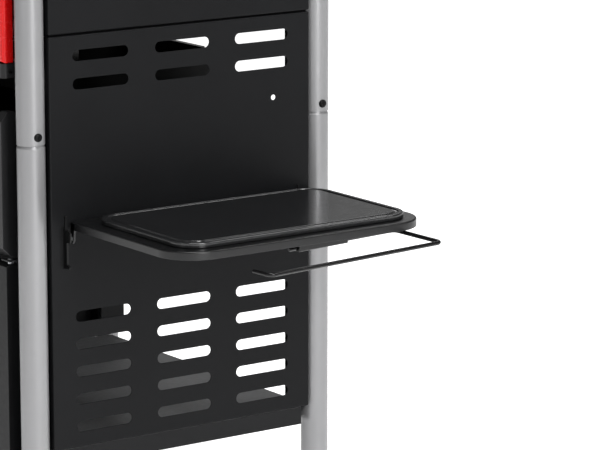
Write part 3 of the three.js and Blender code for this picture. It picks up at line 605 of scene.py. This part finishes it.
for side, sx in (("right", 1), ("left", -1)):
    hs = slots()
    hs.append(lambda g, s=sx: circle(157.5 * s, 650, 4, g))
    if sx > 0:
        for y in (-201.2, 201.2):
            hs.append(lambda g, y=y: rrect(y - 4.7, y + 4.7, 442, 503.5, 1.2, -g, 3))
    S = Shape()
    pan(S, lambda g: rrect(-221.2, 221.2, 180, 770, 2.0, g, 5), XU(sx * 306, -sx), 8.0, 1.5, 2.2, hs, 0.45)
    make("side_panel_sheet_" + side, S, M["panel"], "cart", slot="black_panel", replaces=("side_panel_" + side,))
    S = Shape()
    pan(S, lambda g: rrect(-221.2, 221.2, 772.6, 857.5, 2.0, g, 5), XU(sx * 306, -sx), 8.0, 1.5, 2.2)
    make("upper_band_sheet_" + side, S, M["panel"], "cart", slot="black_panel", replaces=("upper_band_" + side,))
    # strips that close the gap between the sheets and the legs
    for part, z0, z1 in (("panel", 180.4, 769.6), ("band", 773.0, 857.1)):
        S = Shape()
        for sy in (-1, 1):
            slab(S, lambda g: rrect(274, 304.6, z0, z1, 0.6, g, 3), lambda u, v, w, k=sy: (sx * u, k * (218.45 + w), v), 0, 1.5, 0.25, 0.25)
        make(f"{part}_side_strips_" + side, S, M["panel"], "cart", slot="black_panel")
    # dark sheet behind the seam between the panel and the band: painted shade for the gap
    S = Shape()
    slab(S, lambda g: rrect(-217.6, 217.6, 770.12, 772.48, 0.3, g, 2), XU(sx * 298.7, sx), 0, 4.0, 0.2, 0.2)
    make("seam_shade_sheet_" + side, S, M["seam_shade"], "cart")
    # return lips behind the front and rear edges of the panel
    S = Shape()
    for sy in (-1, 1):
        for z0, z1 in ((183, 437), (509, 767)):
            lo, hi = sorted((sy * 184.2, sy * 218.2))
            slab(S, lambda g, lo=lo, hi=hi, z0=z0, z1=z1: rrect(lo, hi, z0, z1, 0.6, g, 2), XU(sx * 297.9, -sx), 0, 1.4, 0.25, 0.25)
    make("panel_return_lips_" + side, S, M["panel"], "cart", slot="black_panel")
    # cover plate on the inside of the rear leg
    S = Shape()
    slab(S, lambda g: rrect(220.6, 264, 181, 617, 0.6, g, 2), XU(sx * 269.7, -sx), 0, 1.2, 0.25, 0.25)
    make("rear_corner_cover_" + side, S, M["panel"], "cart", slot="black_panel")

# ---------------------------------------------------- sheet-metal parts kept as CAD shape
refine("bottom_shelf", M["floor"], "black_floor", 0.6)
refine("front_crossbar", M["front"], "dark_frame", 0.45)
refine("middle_crossbar", M["frame"], "dark_frame", 0.45)
refine("firebox", M["enamel"], "black_enamel", 0.6)
for n in ("left", "centre", "right"):
    refine("flame_tamer_" + n, M["burner"], "burner_steel", 0.4)
refine("gas_manifold", M["zinc"], "zinc", 0.5)
refine("grease_tray", M["bracket"], "dark_frame", 0.4)
refine("drawer", M["front"], "black_panel", 0.5, 3)
refine("drawer_runner_right", M["zinc"], "zinc", 0.4)
refine("drawer_runner_left", M["zinc"], "zinc", 0.4)
# the doors take the darker door coat: their black paint plus painted shade
refine("door_right", M["door"], "black_panel", 0.5, 3)
refine("door_left", M["door"], "black_panel", 0.5, 3)

# ------------------------------------------------------------------ burners
for n, x in (("left", -150), ("centre", 0), ("right", 150)):
    S = Shape()
    prof = fillet([(10.8, 0), (12, 0), (12, 384), (8.5, 386), (0, 386), (0, 384.4), (8, 384.4), (10.8, 383)],
                  [0.3, 0.4, 1.5, 1, 0, 0, 1, 1], 3)
    e1, e2, a = basis((0, 1, 0))
    revolve(S, prof, (x, -211.5, 795), (0, 1, 0), 48, closed=True)
    make("burner_tube_" + n, S, M["burner"], "cart", slot="burner_steel", replaces=("burner_" + n,))
    # rows of flame ports, as small raised rims along both flanks
    S = Shape()
    for s in (-1, 1):
        for k in range(36):
            yy = -190 + k * 10.2
            ang = math.radians(38)
            d = Vector((s * math.cos(ang), 0, math.sin(ang)))
            revolve(S, [(0.9, -0.5), (1.7, -0.5), (1.7, 0.25), (1.35, 0.45), (0.9, 0.25)], Vector((x, yy, 795)) + d * 12, d, 10)
    make("burner_ports_" + n, S, M["burner"], "cart", slot="burner_steel")

# ------------------------------------------------------------------- grates
for n, s in (("right", 1), ("left", -1)):
    hs = []
    for i in range(10):
        xc = s * (10.5 + i * 24 + 8)
        for y0, y1 in ((-186, -8), (8, 186)):
            hs.append(lambda g, xc=xc, y0=y0, y1=y1: rrect(xc - 8, xc + 8, y0, y1, 3.0, -g, 4))
    x0, x1 = (1, 252) if s > 0 else (-252, -1)
    S = Shape()
    slab(S, lambda g: rrect(x0, x1, -198, 198, 4, g, 5), XY(0), 849.4, 859.4, 0.8, 2.0, hs, 1.6)
    make("grate_casting_" + n, S, M["cast"], "cart", slot="cast_grate", replaces=("cooking_grate_" + n,))

# ------------------------------------------------------------ control fascia
hs = [(lambda g, x=x: circle(x, 795, 6, g)) for x in (-150, 0, 150)] + [lambda g: circle(218, 795, 5, g)]
S = Shape()
pan(S, lambda g: rrect(-260, 260, 732, 857.3, 2.0, g, 5), YU(-267, 1), 16.5, 1.5, 6.0, hs, 0.4, 8)
make("control_fascia_panel", S, M["red"], "cart", slot="red_enamel", replaces=("control_fascia",))
S = Shape()
for x in (-150, 0, 150):
    # pressed bezel ring round each knob and tick marks on it
    revolve(S, fillet([(7.5, 0.05), (33, 0.05), (33, 1.2), (31, 1.9), (28.6, 1.6), (28, 0.9), (7.5, 0.9)], [0.2, 0.3, 0.6, 0.6, 0.4, 0.3, 0.2], 3), (x, -267, 795), (0, -1, 0), 96)
revolve(S, fillet([(6, 0.05), (13, 0.05), (13, 1.0), (11.8, 1.9), (10.4, 1.6), (10, 0.9), (6, 0.9)], 0.25, 3), (218, -267, 795), (0, -1, 0), 64)
make("knob_bezels", S, M["steel"], "cart", slot="polished_steel")
S = Shape()
for x in (-150, 0, 150):
    for k in range(7):
        a = math.radians(-90 + 30 * k)
        ln = 5.5 if k % 3 == 0 else 3.5
        ca, sa = math.sin(a), math.cos(a)
        pts = []
        for u, v in ((-0.6, 36), (0.6, 36), (0.6, 36 + ln), (-0.6, 36 + ln)):
            pts.append((x + u * sa + v * ca, 795 - u * ca + v * sa))
        prism(S, pts, YU(-267.02, -1), 0, 0.12)
make("dial_marks", S, M["white"], "cart")

# ------------------------------------------------------- valve stems and knobs
for n, x in (("left", -150), ("centre", 0), ("right", 150)):
    S = Shape()
    revolve(S, fillet([(0, 0), (4, 0), (4, 61), (3.2, 62), (0, 62)], [0, 0.4, 0.5, 0.5, 0], 3), (x, -228.5, 795), (0, -1, 0), 32, closed=False)
    make("valve_spindle_" + n, S, M["zinc"], "valve_" + n, slot="zinc", replaces=("valve_stem_" + n,))
    S = Shape()
    prof = fillet([(4.6, 0), (26, 0), (26, 4.6), (20.8, 7.6), (18.6, 29.3), (4.0, 29.3), (0, 29.3), (0, 24), (4.6, 24)],
                  [0.3, 0.8, 1.3, 2.5, 2.2, 0, 0, 0, 0.3], 5)
    revolve(S, prof, (x, -272, 795), (0, -1, 0), 96, closed=True)
    make("knob_cap_" + n, S, M["knob"], "knob_" + n, slot="knob_black", replaces=("knob_" + n,))
    S = Shape()
    bar = fillet([(-4.5, -19.2), (4.5, -19.2), (4.5, 19.2), (-4.5, 19.2)], 2.6, 5)
    prism(S, [(x + u, 795 + v) for u, v in bar], YU(-272, -1), 26, 33)
    make("knob_grip_" + n, S, M["knob"], "knob_" + n, slot="knob_black", bevel=1.0, bseg=3)
    S = Shape()
    prism(S, [(x + u, 795 + v) for u, v in rrect(-0.8, 0.8, 4, 17, 0.5, 0, 3)], YU(-272, -1), 32.9, 33.0)
    make("knob_pointer_" + n, S, M["white"], "knob_" + n, slot="knob_black")
    # fine ribs round the skirt
    S = Shape()
    for k in range(48):
        a = 2 * PI * k / 48
        d = Vector((math.cos(a), 0, math.sin(a)))
        t = Vector((-math.sin(a), 0, math.cos(a)))
        c0 = Vector((x, -272 - 9.5, 795)) + d * 20.0
        c1 = Vector((x, -272 - 25, 795)) + d * 18.4
        A = S.ring([c0 - t * 0.45, c0 + d * 0.75, c0 + t * 0.45, c0 - d * 0.8])
        B = S.ring([c1 - t * 0.4, c1 + d * 0.65, c1 + t * 0.4, c1 - d * 0.8])
        S.bridge(A, B)
        S.face(A)
        S.face(B)
    make("knob_ribs_" + n, S, M["knob"], "knob_" + n, slot="knob_black")
S = Shape()
revolve(S, fillet([(0, -28), (3.6, -28), (4, -27.4), (4, 0), (8.9, 0), (8.9, 6), (7.4, 8), (0, 8.6)], [0, 0.3, 0.3, 0.3, 0.5, 1.2, 1.5, 0], 4), (218, -273, 795), (0, -1, 0), 64, closed=False)
make("igniter_cap", S, M["knob"], "igniter", slot="knob_black", replaces=("igniter_button",))


# ---------------------------------------------------------------------- lid
def lid_section(g, n1=18, n2=14):
    y, top = 213 - g, 1128 - g
    out = [(-y, 866.5 + z) for z in (0, 3, 30, 80, 118.5)]
    for i in range(1, n1):
        a = PI - (PI / 2) * i / n1
        out.append((-88 + (125 - g) * math.cos(a), 985 + (143 - g) * math.sin(a)))
    out += [(-88, top), (-20, top), (60, top), (123, top)]
    for i in range(1, n2):
        a = PI / 2 - (PI / 2) * i / n2
        out.append((123 + (90 - g) * math.cos(a), 1020 + (108 - g) * math.sin(a)))
    out += [(y, 1020), (y, 960), (y, 900), (y, 869.5), (y, 866.5)]
    return out


S = Shape()
R = 16.0
xs = []
for k in range(9):
    a = PI / 2 * k / 8
    xs.append((-283 + R * (1 - math.cos(a)), R * (1 - math.sin(a))))
xs += [(-180, 0), (-90, 0), (0, 0), (90, 0), (180, 0)]
for k in range(8, -1, -1):
    a = PI / 2 * k / 8
    xs.append((283 - R * (1 - math.cos(a)), R * (1 - math.sin(a))))
rings = [S.ring([(x, y, z) for y, z in lid_section(g)]) for x, g in xs]
for a, b in zip(rings, rings[1:]):
    S.bridge(a, b, closed=False)
S.face(rings[0])
S.face(list(reversed(rings[-1])))
lid = make("lid_shell", S, M["enamel"], "lid", slot="black_enamel", replaces=("lid",), solid=2.4)
# hinge ears at both ends of the lid
S = Shape()
for s in (-1, 1):
    a, b = sorted((s * 209, s * 212.6))
    prism(S, fillet([(211.5, 871), (234, 871), (235, 884), (230, 889), (220, 892), (211.5, 905)], [0, 2, 3, 3, 3, 0], 4), lambda u, v, w: (w, u, v), a, b)
make("lid_hinge_ears", S, M["enamel"], "lid", slot="black_enamel", bevel=0.6)
# rolled hem along the lower rim
S = Shape()
for s in (-1, 1):
    for z in (872.0,):
        sweep(S, bent([(-279.5, s * 213.0 - s * 1.9, z), (279.5, s * 213.0 - s * 1.9, z)], 5), 1.9, 12)
make("lid_hem", S, M["enamel"], "lid", slot="black_enamel")
# handle
S = Shape()
prof = fillet([(0, -200), (10, -200), (10, -184), (9.2, -183), (9.2, -161), (10, -160), (10, 160), (9.2, 161), (9.2, 183), (10, 184), (10, 200), (0, 200)],
              [0, 2.0, 0.4, 0.4, 0.4, 0.4, 0.4, 0.4, 0.4, 0.4, 2.0, 0], 4)
revolve(S, prof, (0, -257, 905), (1, 0, 0), 64, closed=False)
make("lid_handle_bar", S, M["steel"], "lid", slot="polished_steel", replaces=("lid_handle",))
S = Shape()
for s in (-1, 1):
    a, b = sorted((s * 164, s * 180))
    prism(S, fillet([(-213.4, 895), (-213.4, 915), (-222, 913), (-250, 911), (-262, 912), (-262, 898), (-250, 899), (-222, 897)], [1, 1, 6, 6, 5, 5, 6, 6], 4), lambda u, v, w: (w, u, v), a, b)
make("lid_handle_posts", S, M["knob"], "lid", slot="knob_black", bevel=1.5, bseg=3)
# thermometer
S = Shape()
o, ax = (0, -213.4, 955), (0, -1, 0)
revolve(S, fillet([(0, 0), (33.2, 0), (34, 1.2), (34, 8.5), (31.5, 11), (29.4, 10.2), (28.6, 7.0), (0, 7.0)], [0, 0.4, 0.6, 1.5, 1.2, 0.8, 0.5, 0], 5), o, ax, 96, closed=False)
make("thermometer_case", S, M["steel"], "lid", slot="polished_steel", replaces=("thermometer",))
S = Shape()
revolve(S, [(0, 7.0), (28.3, 7.0), (28.3, 7.5), (0, 7.5)], o, ax, 96, closed=False)
make("thermometer_dial", S, M["dial"], "lid")
S = Shape()
S2 = Shape()
for k in range(31):
    a = math.radians(-135 + 9 * k)
    ln = 5.0 if k % 5 == 0 else 2.6
    hw = 0.45 if k % 5 == 0 else 0.25
    pts = [(u * math.cos(a) + v * math.sin(a), 955 - u * math.sin(a) + v * math.cos(a)) for u, v in ((-hw, 26 - ln), (hw, 26 - ln), (hw, 26), (-hw, 26))]
    prism(S, pts, YU(-213.4, -1), 7.5, 7.62)
for k in range(12):
    a0, a1 = math.radians(75 + 5 * k), math.radians(80 + 5 * k)
    pts = [(r * math.sin(a), 955 + r * math.cos(a)) for r, a in ((16, a0), (19, a0), (19, a1), (16, a1))]
    prism(S2, pts, YU(-213.4, -1), 7.5, 7.6)
make("thermometer_ticks", S, M["screw"], "lid")
make("thermometer_zone", S2, M["redmark"], "lid")
S = Shape()
a = math.radians(-128)
pts = [(u * math.cos(a) + v * math.sin(a), 955 - u * math.sin(a) + v * math.cos(a)) for u, v in ((-1.3, -6), (1.3, -6), (0.3, 23), (-0.3, 23))]
prism(S, pts, YU(-213.4, -1), 8.0, 8.5)
revolve(S, fillet([(0, 7.5), (2.6, 7.5), (2.6, 8.9), (1.8, 9.3), (0, 9.3)], [0, 0, 0.4, 0.4, 0], 3), o, ax, 32, closed=False)
make("thermometer_needle", S, M["screw"], "lid")
S = Shape()
revolve(S, fillet([(0, -224), (3.4, -224), (4, -223), (4, 223), (3.4, 224), (0, 224)], [0, 0.3, 0.3, 0.3, 0.3, 0], 2), (0, 228, 880), (1, 0, 0), 32, closed=False)
make("lid_hinge_bar", S, M["zinc"], "cart", slot="zinc", replaces=("lid_hinge_rod",))

# --------------------------------------------------------------- door pins
for n, s in (("right", 1), ("left", -1)):
    S = Shape()
    revolve(S, fillet([(0, 144), (3.4, 144), (4, 144.8), (4, 452.2), (3.4, 453), (0, 453)], [0, 0.3, 0.3, 0.3, 0.3, 0], 2), (s * 246, -252, 0), (0, 0, 1), 32, closed=False)
    make("door_pin_bar_" + n, S, M["zinc"], "cart", slot="zinc", replaces=("door_pin_" + n,))

# ------------------------------------------------------------ wheels and axle
S = Shape()
revolve(S, fillet([(0, -308.5), (9.2, -308.5), (10, -307.6), (10, -303), (6, -303), (6, 303), (10, 303), (10, 307.6), (9.2, 308.5), (0, 308.5)],
                  [0, 0.5, 0.5, 0.3, 0.3, 0.3, 0.3, 0.5, 0.5, 0], 3), (-290, 0, 70), (0, 1, 0), 48, closed=False)
make("axle_bar", S, M["zinc"], "cart", slot="zinc", replaces=("axle",))
for n, yc in (("front", -284.5), ("rear", 284.5)):
    S = Shape()
    tread = [(45.2, -14), (48, -16.4), (60, -18), (63, -17.8), (67.5, -15.4), (69.6, -12.2)]
    for yy in (-9, -3, 3, 9):
        tread += [(70, yy - 2.1), (69.9, yy - 1.0), (68.4, yy - 0.7), (68.4, yy + 0.7), (69.9, yy + 1.0), (70, yy + 2.1)]
    tread += [(69.6, 12.2), (67.5, 15.4), (63, 17.8), (60, 18), (48, 16.4), (45.2, 14)]
    revolve(S, tread, (-290, yc, 70), (0, 1, 0), 120)
    S.v = [(-290 + (x + 290) * 0.9896, y, z) for x, y, z in S.v]
    make("wheel_tyre_" + n, S, M["rubber"], "wheel_" + n, slot="rubber", replaces=("wheel_" + n,), sharp=60)
    S = Shape()
    hub = fillet([(6.5, -18), (16, -18), (17, -17), (17.5, -9), (40, -7.5), (42.5, -14), (45.1, -14.5), (45.1, 14.5), (42.5, 14), (40, 7.5), (17.5, 9), (17, 17), (16, 18), (6.5, 18)],
                 [0.3, 1, 1, 3, 3, 1, 0.5, 0.5, 1, 3, 3, 1, 1, 0.3], 4)
    revolve(S, hub, (-290, yc, 70), (0, 1, 0), 96)
    for k in range(6):
        a = 2 * PI * k / 6
        d = Vector((math.cos(a), 0, math.sin(a)))
        t = Vector((-math.sin(a), 0, math.cos(a)))
        o = Vector((-290, yc, 70))
        for s in (-1, 1):
            sec = [(-3.2, 6), (3.2, 6), (2.2, 14), (-2.2, 14)]
            A = S.ring([o + d * 15.5 + t * u + Vector((0, s * w, 0)) for u, w in sec])
            B = S.ring([o + d * 43.0 + t * u + Vector((0, s * (w - 1.0), 0)) for u, w in sec])
            S.bridge(A, B)
            S.face(A)
            S.face(B)
    make("wheel_hub_" + n, S, M["hub"], "wheel_" + n, bevel=0.5, angle=50)

# --------------------------------------------------------------- side shelf
RS = [2, 55, 55, 2]
S = Shape()
pan(S, lambda g: rrect(312, 590, -193.5, 229.5, RS, g, 14), XY(510, -1), 12.0, 2.0, 2.4, (), 0.4, 6)
make("side_shelf_tray", S, M["shelf"], "shelf", slot="shelf_grey", replaces=("side_shelf",))
S = Shape()
for y0, y1 in ((-193.5, -190.5), (193.5, 196.5)):
    poly = fillet([(312.2, 508.5), (322, 508.5), (321, 484), (317, 478.2), (311, 478.2), (307, 482.4), (307, 487.6), (312.2, 494)], [0.4, 0.6, 3, 2.5, 2.5, 2.5, 2, 3], 4)
    # with the hole for the pivot
    to = lambda u, v, w: (u, w, v)
    slab(S, lambda g, p=poly: [(u + (314 - u) * g / max(1, math.hypot(u - 314, v - 485)), v + (485 - v) * g / max(1, math.hypot(u - 314, v - 485))) for u, v in p], to, y0, y1, 0.4, 0.4,
         [lambda g: circle(314, 485, 3.6, g, 24)], 0.3)
make("side_shelf_ears", S, M["shelf"], "shelf", slot="shelf_grey")
# clip under the shelf edge that holds the inner bar of the rail
S = Shape()
ca, sa = math.cos(math.atan2(22, 197.5)), math.sin(math.atan2(22, 197.5))
turn = lambda u, v, w: (576 + u * ca - v * sa, 47 + u * sa + v * ca, w)
prof = fillet([(-6, 489.2), (6, 489.2), (6, 507.7), (-6, 507.7)], [1.6, 1.6, 0.5, 0.5], 4)
hole = circle(0, 493.8, 3.6, 0, 28)
A = S.ring([turn(u, -45, v) for u, v in prof])
B = S.ring([turn(u, 45, v) for u, v in prof])
HA = S.ring([turn(u, -45, v) for u, v in hole])
HB = S.ring([turn(u, 45, v) for u, v in hole])
S.bridge(A, B)
S.bridge(HA, HB)
S.cap(A, HA)
S.cap(B, HB)
make("rail_clip_block", S, M["clip"], "shelf", slot="knob_black", replaces=("rail_clip",), bevel=0.3, angle=50)

# brackets through the slots of the panel
for n, y0, y1, p0, p1, b0, b1 in (("front", -200, -197, -198, -189, -206.2, -196.2), ("rear", 199, 202, 191, 200, 196.2, 206.2)):
    S = Shape()
    poly = fillet([(303.9, 442.5), (318, 442.5), (318, 446), (312.3, 447.5), (312.3, 480), (321, 480), (321, 494), (316.5, 496.9), (308.4, 497.4), (308.4, 517), (306.6, 517), (306.6, 499.5), (303.9, 499.5), (303.9, 502.8), (296, 502.8), (296, 450), (299.6, 450), (299.6, 462), (303.9, 462)],
                  [0.5, 1, 1, 2, 1, 2, 1.2, 1, 0.8, 0.6, 0.6, 0.3, 0.3, 0.4, 0.8, 0.5, 0.5, 0.6, 0.4], 3)
    prism(S, poly, lambda u, v, w: (u, w, v), y0, y1)
    make("bracket_plate_" + n, S, M["bracket"], "cart", slot="dark_frame", replaces=("shelf_bracket_" + n,), bevel=0.4)
    S = Shape()
    slab(S, lambda g: rrect(b0, b1, 440.5, 505, 1.0, g, 3), XU(302.4, 1), 0, 1.5, 0.25, 0.25)
    make("bracket_back_plate_" + n, S, M["bracket"], "cart", slot="dark_frame")
    S = Shape()
    revolve(S, fillet([(0, p0), (2.6, p0), (3, p0 + 0.6), (3, p1 - 0.6), (2.6, p1), (0, p1)], [0, 0.2, 0.2, 0.2, 0.2, 0], 2), (314, 0, 485), (0, 1, 0), 32, closed=False)
    make("bracket_pin_" + n, S, M["zinc"], "cart", slot="zinc")

# ------------------------------------------------------------- cutting board
S = Shape()
ol = lambda g: rrect(333, 573, -173.5, 211.5, 40, g, 14)
seq = [(1.2, 510.3), (0.35, 510.65), (0, 511.5), (0, 516.3)]
for k in range(1, 6):
    a = PI / 2 * k / 5
    seq.append((2.0 * (1 - math.cos(a)), 516.3 + 2.0 * math.sin(a)))
seq += [(6.0, 518.3), (6.35, 518.2), (6.6, 517.9), (6.8, 517.3)]
for k in range(1, 8):
    a = PI * k / 8
    seq.append((10.5 - 3.5 * math.cos(a), 516.9 - 1.6 * math.sin(a)))
seq += [(14.2, 517.3), (14.4, 517.9), (14.65, 518.2), (15.0, 518.3)]
rings = [S.ring([(u, v, w) for u, v in ol(g)]) for g, w in seq]
for a, b in zip(rings, rings[1:]):
    S.bridge(a, b)
S.cap(rings[0])
S.cap(rings[-1])
make("cutting_board_slab", S, M["board"], "board", slot="board_plastic", replaces=("cutting_board",))

# ---------------------------------------------------------------- towel rail
S = Shape()
sweep(S, bent([(582.6, -12.5, 493.8), (560.6, 185, 493.8), (654.75, 195.5, 491), (689.75, -117.5, 491), (655.3, -121.4, 491)], 9, 10), 3.0, 24)
make("towel_rail_wire", S, M["wire"], "rail", slot="black_wire", replaces=("towel_rail",))

# -------------------------------------------------------- camera, floor, light
scene = bpy.context.scene
scene.view_settings.view_transform = "Standard"
scene.view_settings.look = "None"
cam_data = bpy.data.cameras.new("camera")
cam = bpy.data.objects.new("camera", cam_data)
scene.collection.objects.link(cam)
yaw, pitch, f_px = math.radians(35.5972), math.radians(11.6964), 3384.45
cam.location = mm((4258.41, -2624.51, 1461.91))
fw = Vector((-math.cos(yaw) * math.cos(pitch), math.sin(yaw) * math.cos(pitch), -math.sin(pitch)))
cam.rotation_mode = "QUATERNION"
cam.rotation_quaternion = fw.to_track_quat("-Z", "Y")
cam_data.sensor_width = 36.0
cam_data.lens = f_px / 600 * 36
cam_data.clip_start, cam_data.clip_end = 0.1, 200
scene.camera = cam

bm = bmesh.new()
bmesh.ops.create_circle(bm, cap_ends=True, radius=30, segments=96)
me = bpy.data.meshes.new("floor")
bm.to_mesh(me)
bm.free()
floor = bpy.data.objects.new("floor", me)
scene.collection.objects.link(floor)
floor.location.z = CAD_LO.z - 0.0005
fm = bpy.data.materials.new("pale_floor")
fm.use_nodes = True
fb = fm.node_tree.nodes["Principled BSDF"]
fb.inputs["Base Color"].default_value = (0.86, 0.86, 0.86, 1)
fb.inputs["Roughness"].default_value = 0.9
fb.inputs["Specular IOR Level"].default_value = 0.1
fb.inputs["Emission Color"].default_value = (1, 1, 1, 1)
fb.inputs["Emission Strength"].default_value = 0.85
me.materials.append(fm)

world = bpy.data.worlds.new("studio")
scene.world = world
world.use_nodes = True
bg = world.node_tree.nodes["Background"]
bg.inputs["Color"].default_value = (1, 1, 1, 1)
bg.inputs["Strength"].default_value = 0.18


def softbox(name, az, el, dist, size, power, target=(0.1, 0.0, 0.5)):
    """az 0 is in front of the grill (-Y), 90 is its right (+X)."""
    a, e = math.radians(az), math.radians(el)
    d = Vector((math.sin(a) * math.cos(e), -math.cos(a) * math.cos(e), math.sin(e)))
    l = bpy.data.lights.new(name, "AREA")
    l.shape = "RECTANGLE"
    l.size, l.size_y = size
    l.energy = power
    o = bpy.data.objects.new(name, l)
    scene.collection.objects.link(o)
    o.location = Vector(target) + d * dist
    o.rotation_mode = "QUATERNION"
    o.rotation_quaternion = (-d).to_track_quat("-Z", "Y")
    return o


softbox("key", 86, 22, 3.7, (1.1, 2.7), 104, (0.12, 0.0, 0.5))
softbox("fill", 12, 18, 4.0, (0.8, 2.2), 9)
softbox("top", 62, 72, 3.2, (1.4, 1.4), 58)
softbox("edge", 142, 47, 3.2, (0.8, 0.8), 18)
softbox("back", 238, 32, 5.0, (2.6, 1.6), 34)
